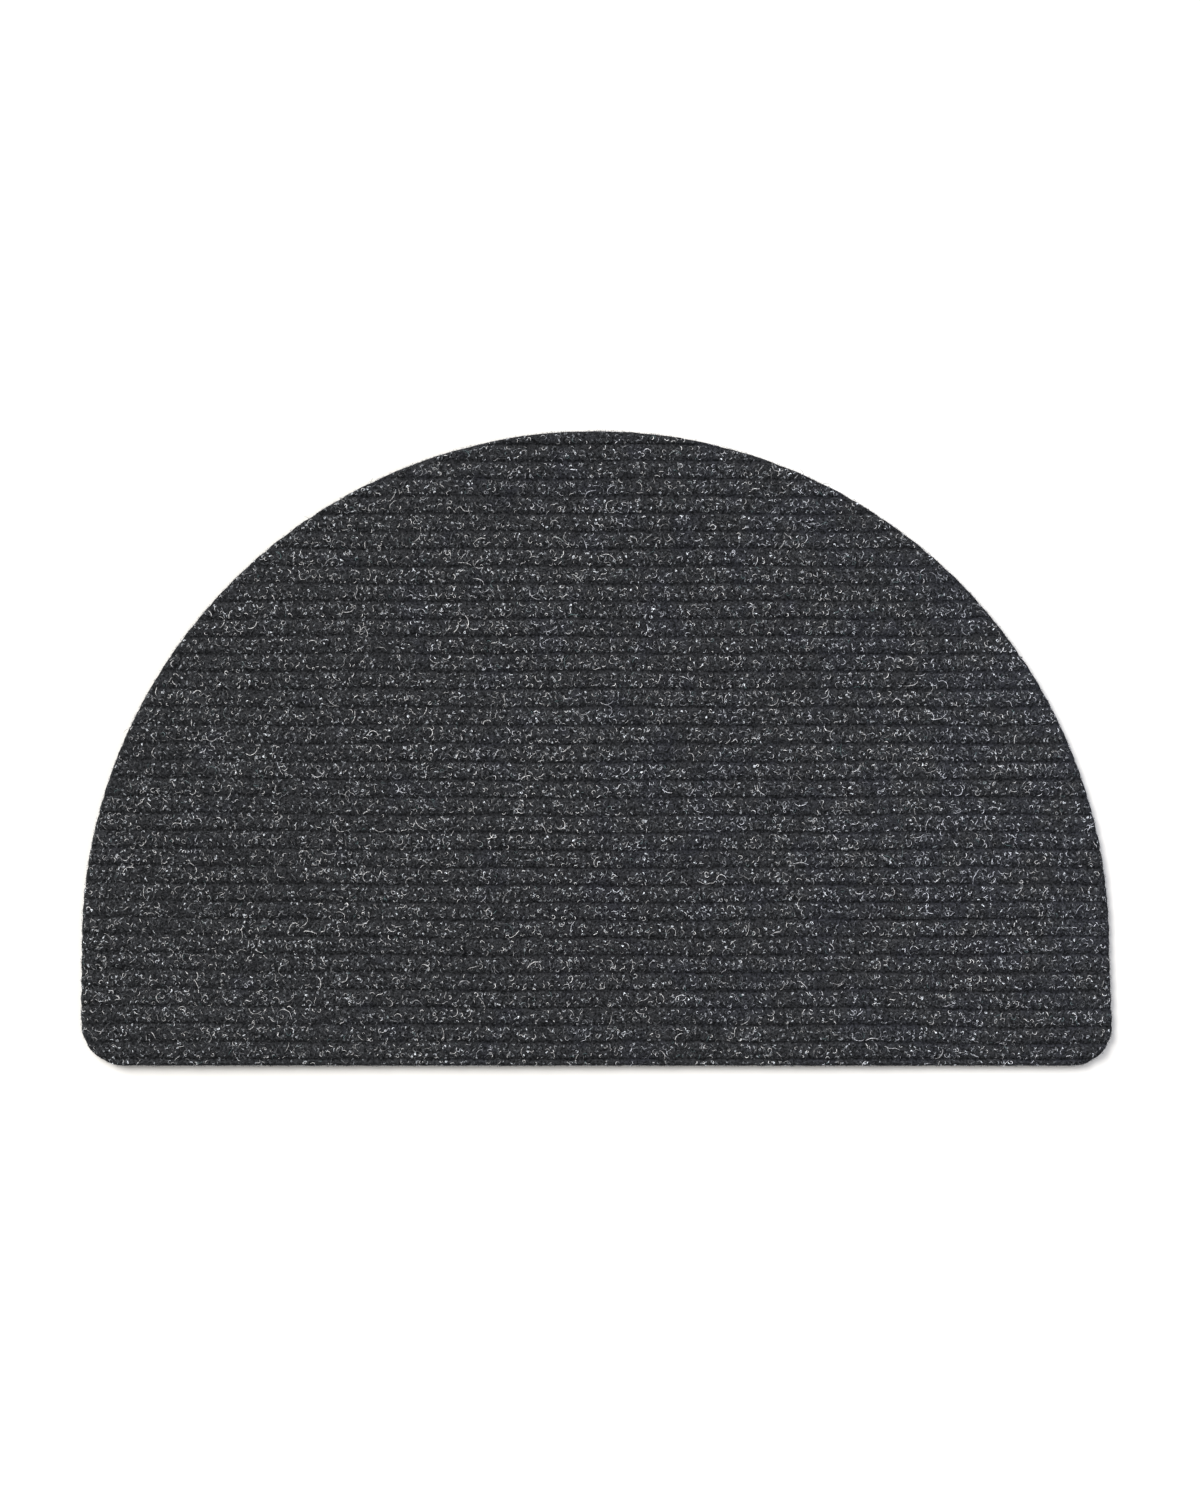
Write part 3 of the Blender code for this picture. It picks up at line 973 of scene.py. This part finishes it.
class DOORMAT_OT_lay_felt(bpy.types.Operator):
    """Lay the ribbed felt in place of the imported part's plain solid"""

    bl_idname = "doormat.lay_felt"
    bl_label = "Lay Felt"

    def execute(self, context):
        shape, _, colours, _ = settings(context)
        mesh = build_felt(FeltSurface(shape))
        data = bpy.data.meshes.new("ribbed_felt_sheet")
        mesh.to_mesh(data)
        mesh.free()
        data.shade_smooth()
        data.set_sharp_from_angle(angle=SHARP_ANGLE)
        curls, blend = group_once("Fibre Curls", curl_group), group_once("Fibre Blend", blend_group)
        felt = new_piece("ribbed_felt_sheet", data, felt_material(colours, curls, blend))
        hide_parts(FELT_NODE)
        return {"FINISHED"}


class DOORMAT_OT_scatter_pale(bpy.types.Operator):
    """Scatter the pale and ash-grey curled fibres over the ribs"""

    bl_idname = "doormat.scatter_pale"
    bl_label = "Scatter Pale Fibres"

    def execute(self, context):
        shape, fibres, colours, _ = settings(context)
        surface, rng = FeltSurface(shape), np.random.default_rng(101)
        spots = felt_spots(surface, rng, 2 * fibres.pale_count, groove_share=0.12, clumping=0.60)
        material = strand_material(
            "pale_strand", colours.strand_grey, colours.strand_pale, colours.strand_teal, 0.55,
            group_once("Fibre Blend", blend_group),
        )
        for name, places, shades in (
            ("pale_curls", spots[0::2], (0.55, 2.3)),
            ("ash_curls", spots[1::2], (0.02, 0.72)),
        ):
            data = strand_mesh(surface, fibres, name, rng, places, shades, fineness=1.0, coarser=0)
            new_piece(name, data, material)
        return {"FINISHED"}


class DOORMAT_OT_scatter_grey(bpy.types.Operator):
    """Scatter the darker curled fibres over the ribs: grey and slate"""

    bl_idname = "doormat.scatter_grey"
    bl_label = "Scatter Grey Fibres"

    def execute(self, context):
        shape, fibres, colours, _ = settings(context)
        surface, rng = FeltSurface(shape), np.random.default_rng(201)
        blend = group_once("Fibre Blend", blend_group)
        slate, grey, pale = colours.strand_slate, colours.strand_grey, colours.strand_pale
        for name, darkest, palest, shades, groove_share, clumping, slot in (
            ("grey_curls", grey, pale, (0.0, 0.06), 0.30, 0.50, "pale_fibre"),
            ("slate_curls", slate, grey, (0.0, 0.3), 0.50, 0.20, "charcoal_felt"),
        ):
            spots = felt_spots(surface, rng, fibres.grey_count, groove_share, clumping)
            data = strand_mesh(surface, fibres, name, rng, spots, shades, fineness=0.9, coarser=1)
            material = strand_material(name, darkest, palest, colours.strand_teal, 0.65, blend)
            new_piece(name, data, material)
        return {"FINISHED"}


class DOORMAT_OT_fray_edge(bpy.types.Operator):
    """Let short loose ends stick out of the cut edge"""

    bl_idname = "doormat.fray_edge"
    bl_label = "Fray Edge"

    def execute(self, context):
        shape, fibres, colours, _ = settings(context)
        material = strand_material(
            "edge_strand", colours.felt_light, colours.strand_pale, colours.strand_teal, 0.75,
            group_once("Fibre Blend", blend_group),
        )
        new_piece("edge_fibres", build_edge_fibres(FeltSurface(shape), fibres), material)
        return {"FINISHED"}


class DOORMAT_OT_set_stage(bpy.types.Operator):
    """Set up the floor, the lights and the camera straight above the mat"""

    bl_idname = "doormat.set_stage"
    bl_label = "Set Stage"

    def execute(self, context):
        _, _, colours, stage = settings(context)
        scene = context.scene
        scene.view_settings.view_transform = "Standard"
        self.add_floor(scene, colours)
        self.add_sky(scene, stage)
        self.add_sun(scene, stage)
        self.add_window(scene, stage)
        self.add_camera(scene, stage)
        return {"FINISHED"}

    def add_floor(self, scene, colours):
        half = FLOOR_HALF_SIZE
        corners = [(-half, -half, 0), (half, -half, 0), (half, half, 0), (-half, half, 0)]
        data = bpy.data.meshes.new("floor")
        data.from_pydata(corners, [], [(0, 1, 2, 3)])
        material = bpy.data.materials.new("pale_floor")
        material.use_nodes = True
        shader = material.node_tree.nodes["Principled BSDF"]
        shader.inputs["Base Color"].default_value = opaque(colours.floor)
        shader.inputs["Roughness"].default_value = 1.0
        shader.inputs["Specular IOR Level"].default_value = 0.0
        data.materials.append(material)
        floor = bpy.data.objects.new("floor", data)
        scene.collection.objects.link(floor)

    def add_sky(self, scene, stage):
        world = bpy.data.worlds.new("studio")
        world.use_nodes = True
        sky = world.node_tree.nodes["Background"]
        sky.inputs["Color"].default_value = (1.0, 1.0, 1.0, 1.0)
        sky.inputs["Strength"].default_value = stage.sky_strength
        scene.world = world

    def add_window(self, scene, stage):
        data = bpy.data.lights.new("window", "AREA")
        data.energy = stage.window_power
        data.size = stage.window_size
        data.color = WINDOW_COLOUR
        window = bpy.data.objects.new("window", data)
        window.location = WINDOW_PLACE
        window.rotation_euler = (0.0, WINDOW_LEAN, 0.0)
        scene.collection.objects.link(window)

    def add_sun(self, scene, stage):
        data = bpy.data.lights.new("softbox", "SUN")
        data.energy = stage.sun_strength
        data.angle = stage.sun_spread
        sun = bpy.data.objects.new("softbox", data)
        sun.rotation_euler = (-stage.sun_tilt, 0.0, stage.sun_turn)
        scene.collection.objects.link(sun)

    def add_camera(self, scene, stage):
        data = bpy.data.cameras.new("camera")
        data.lens = stage.lens
        camera = bpy.data.objects.new("camera", data)
        distance = stage.frame_height * data.lens / data.sensor_width
        camera.location = (stage.aim_x, stage.aim_y, MAT_HIGH[2] + distance)
        scene.collection.objects.link(camera)
        scene.camera = camera


class DOORMAT_PT_panel(bpy.types.Panel):
    """The mat's sizes, colours and pieces"""

    bl_idname = "DOORMAT_PT_panel"
    bl_label = "Doormat"
    bl_space_type = "VIEW_3D"
    bl_region_type = "UI"
    bl_category = "Doormat"

    def draw(self, context):
        for group in settings(context):
            box = self.layout.box()
            for name in group.__annotations__:
                box.prop(group, name)
        for operator in OPERATORS:
            self.layout.operator(operator.bl_idname)


GROUPS = {
    "doormat_shape": DoormatShape,
    "doormat_fibres": DoormatFibres,
    "doormat_colours": DoormatColours,
    "doormat_stage": DoormatStage,
}
OPERATORS = (
    DOORMAT_OT_set_stage,
    DOORMAT_OT_lay_felt,
    DOORMAT_OT_scatter_pale,
    DOORMAT_OT_scatter_grey,
    DOORMAT_OT_fray_edge,
)


def register():
    for kind in (*GROUPS.values(), *OPERATORS, DOORMAT_PT_panel):
        bpy.utils.register_class(kind)
    for name, group in GROUPS.items():
        setattr(bpy.types.Scene, name, PointerProperty(type=group))


def unregister():
    for name in GROUPS:
        delattr(bpy.types.Scene, name)
    for kind in reversed((*GROUPS.values(), *OPERATORS, DOORMAT_PT_panel)):
        bpy.utils.unregister_class(kind)


def main():
    register()
    bpy.ops.doormat.set_stage()
    bpy.ops.doormat.lay_felt()
    bpy.ops.doormat.scatter_pale()
    bpy.ops.doormat.scatter_grey()
    bpy.ops.doormat.fray_edge()


if __name__ == "__main__":
    main()
